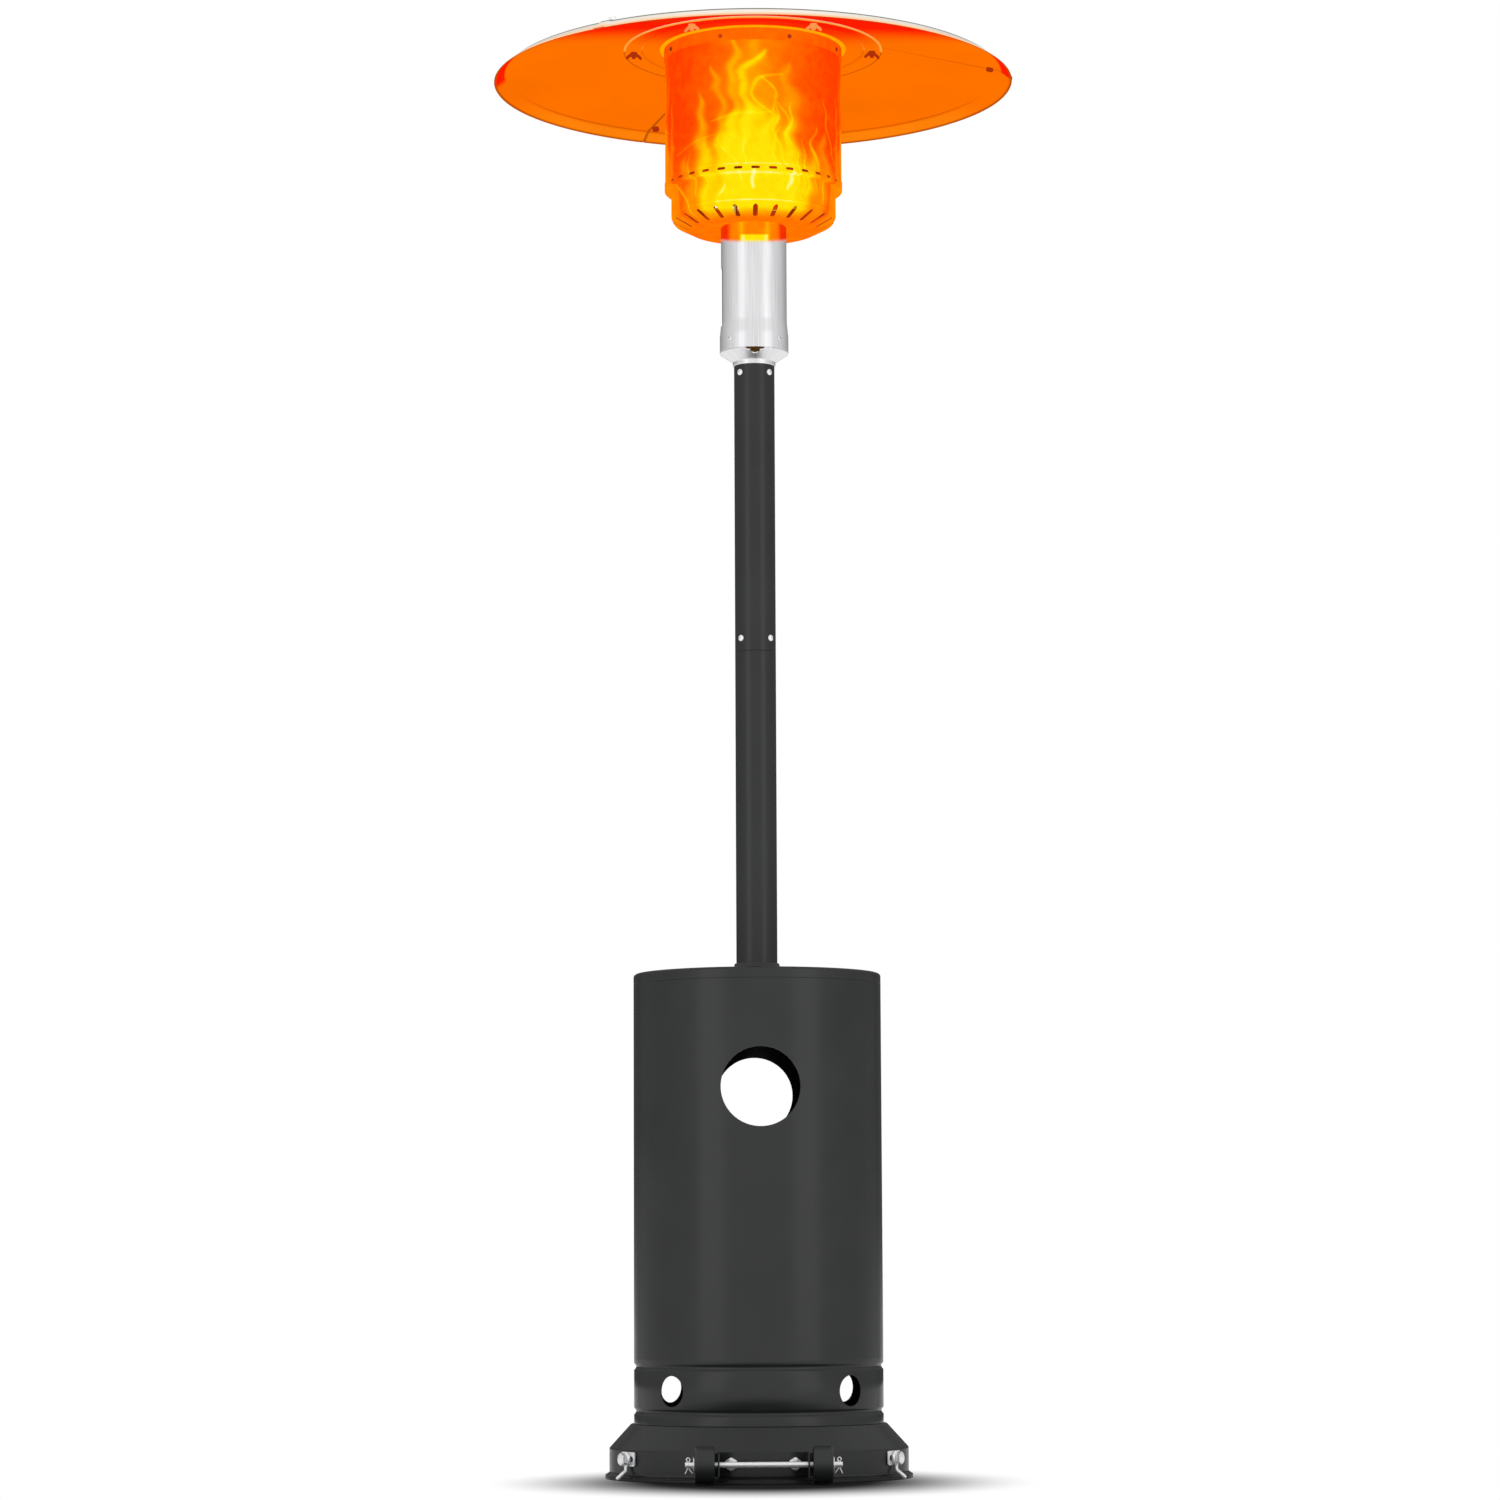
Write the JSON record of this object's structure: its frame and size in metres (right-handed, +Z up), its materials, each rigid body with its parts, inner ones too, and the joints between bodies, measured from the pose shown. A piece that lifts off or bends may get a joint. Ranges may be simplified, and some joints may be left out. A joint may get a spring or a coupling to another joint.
{
  "type": "propane patio heater",
  "caption": "Free-standing gas patio heater: wheeled round base, sliding bottle housing, pole, burner with emitter screen and wide reflector.",
  "frame": {"origin": "on the floor under the middle of the base, on the pole's axis", "axes": "+Z up along the pole; -Y towards the transport wheels; +X to the right when the wheels face the viewer"},
  "size_m": [0.812, 0.8121, 2.2216],
  "materials": {
    "charcoal_coat": "textured charcoal powder coat",
    "bright_steel": "bright, polished",
    "zinc": "bright zinc plate",
    "aluminium": "bright rolled sheet",
    "hot_screen": "perforated steel sheet, glowing hot",
    "brass": "plain machined",
    "black_plastic": "matte black",
    "ceramic": "unglazed"
  },
  "bodies": {
    "heater": {"base_plate": "charcoal_coat", "base_cover": "charcoal_coat", "support_leg_near": "charcoal_coat", "support_leg_far": "charcoal_coat", "support_leg_right": "charcoal_coat", "post_socket": "charcoal_coat", "lower_pole": "charcoal_coat", "upper_pole": "charcoal_coat", "wheel_bracket": "charcoal_coat", "anchor_plate_left": "zinc", "anchor_plate_right": "zinc", "anchor_plate_far": "zinc", "anchor_bolt_left": "zinc", "anchor_bolt_right": "zinc", "anchor_bolt_far": "zinc", "bracket_bolt_left": "zinc", "bracket_bolt_right": "zinc", "axle": "zinc", "axle_washer_left": "zinc", "axle_washer_right": "zinc", "cotter_pin_left": "zinc", "cotter_pin_right": "zinc", "valve_nut": "zinc", "wing_nut_1": "zinc", "wing_nut_2": "zinc", "wing_nut_3": "zinc", "wing_nut_4": "zinc", "wing_nut_5": "zinc", "wing_nut_6": "zinc", "control_panel": "black_plastic", "tip_over_switch": "black_plastic", "neck_cup": "bright_steel", "neck_tube": "bright_steel", "burner_bowl": "bright_steel", "mixing_tube": "bright_steel", "burner_head": "bright_steel", "screen_ring": "bright_steel", "screen_top_ring": "bright_steel", "emitter_screen": "hot_screen", "gas_valve": "brass", "inlet_fitting": "brass", "gas_riser": "brass", "gas_nozzle": "brass", "pilot_burner": "brass", "thermocouple": "brass", "spark_electrode": "ceramic", "reflector_plate": "aluminium", "reflector_panel_right": "aluminium", "reflector_panel_left": "aluminium", "reflector_panel_near": "aluminium"},
    "housing": {"tank_housing": "charcoal_coat", "housing_lid": "charcoal_coat", "lid_bush": "black_plastic"},
    "left_wheel": {"wheel_left": "black_plastic"},
    "right_wheel": {"wheel_right": "black_plastic"},
    "left_hook": {"anchor_hook_left": "zinc"},
    "right_hook": {"anchor_hook_right": "zinc"},
    "far_hook": {"anchor_hook_far": "zinc"},
    "stem": {"valve_stem": "zinc"},
    "knob": {"control_knob": "black_plastic"}
  },
  "joints": [
    {"name": "housing_lift", "type": "slide", "parent": "heater", "child": "housing", "axis": [0, 0, 1], "range_m": [0, 0.46]},
    {"name": "wheel_left_spin", "type": "hinge", "parent": "heater", "child": "left_wheel", "pos_m": [-0.0866, -0.26, 0.0293], "axis": [1, 0, 0], "continuous": true},
    {"name": "wheel_right_spin", "type": "hinge", "parent": "heater", "child": "right_wheel", "pos_m": [0.0866, -0.26, 0.0293], "axis": [1, 0, 0], "continuous": true},
    {"name": "hook_left_swing", "type": "hinge", "parent": "heater", "child": "left_hook", "pos_m": [-0.20165, -0.11643, 0.033], "axis": [-0.866, -0.5, 0], "range_deg": [-100, 100]},
    {"name": "hook_right_swing", "type": "hinge", "parent": "heater", "child": "right_hook", "pos_m": [0.20165, -0.11643, 0.033], "axis": [0.866, -0.5, 0], "range_deg": [-100, 100]},
    {"name": "hook_far_swing", "type": "hinge", "parent": "heater", "child": "far_hook", "pos_m": [0, 0.23285, 0.033], "axis": [0, 1, 0], "range_deg": [-100, 100]},
    {"name": "knob_push", "type": "slide", "parent": "heater", "child": "stem", "axis": [0.2588, -0.9659, 0], "range_m": [0, 0.006], "stiffness_N_per_m": 400},
    {"name": "knob_turn", "type": "hinge", "parent": "stem", "child": "knob", "pos_m": [-0.01553, 0.05796, 1.8206], "axis": [-0.2588, 0.9659, 0], "range_deg": [0, 180]}
  ]
}
